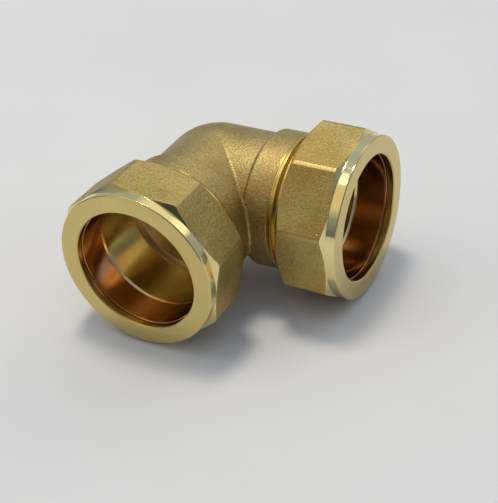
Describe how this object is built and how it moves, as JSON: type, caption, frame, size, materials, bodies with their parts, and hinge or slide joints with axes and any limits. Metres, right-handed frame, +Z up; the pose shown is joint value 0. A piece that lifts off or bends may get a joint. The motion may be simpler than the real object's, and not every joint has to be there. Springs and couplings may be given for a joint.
{
  "type": "compression elbow",
  "caption": "Brass 90 degree compression elbow for 42 mm copper tube, with octagonal screw nuts and copper olives on equal ports.",
  "frame": {"origin": "centre of the part's outline on the plane it stands on, seen from above; both port axes run level 28.71 mm above it and cross above x = -13.55 mm, y = 13.55 mm", "axes": "+Z up, at right angles to both port axes; +X out of port B; -Y out of port A"},
  "size_m": [0.0846, 0.0846, 0.0574],
  "materials": {
    "forged_brass": "sandblasted forging, with turned ring, thread and sockets",
    "nut_brass": "sandblasted flats, polished collar and front face",
    "olive_copper": "smooth copper"
  },
  "bodies": {
    "body": {"elbow_body": "forged_brass"},
    "ring_a": {"olive_a": "olive_copper"},
    "cap_a": {"nut_a": "nut_brass"},
    "ring_b": {"olive_b": "olive_copper"},
    "cap_b": {"nut_b": "nut_brass"}
  },
  "joints": [
    {"name": "travel_a", "type": "slide", "parent": "body", "child": "ring_a", "axis": [0, -1, 0], "range_m": [0, 0.00924]},
    {"name": "turn_a", "type": "hinge", "parent": "ring_a", "child": "cap_a", "pos_m": [-0.01355, 0.01355, 0.02871], "axis": [0, -1, 0], "range_deg": [0, 1440]},
    {"name": "travel_b", "type": "slide", "parent": "body", "child": "ring_b", "axis": [1, 0, 0], "range_m": [0, 0.00924]},
    {"name": "turn_b", "type": "hinge", "parent": "ring_b", "child": "cap_b", "pos_m": [-0.01355, 0.01355, 0.02871], "axis": [1, 0, 0], "range_deg": [0, 1440]}
  ],
  "couplings": [
    {"joint": "travel_a", "follows": "turn_a", "m_per_rad": 0.00036749},
    {"joint": "travel_b", "follows": "turn_b", "m_per_rad": 0.00036749}
  ]
}
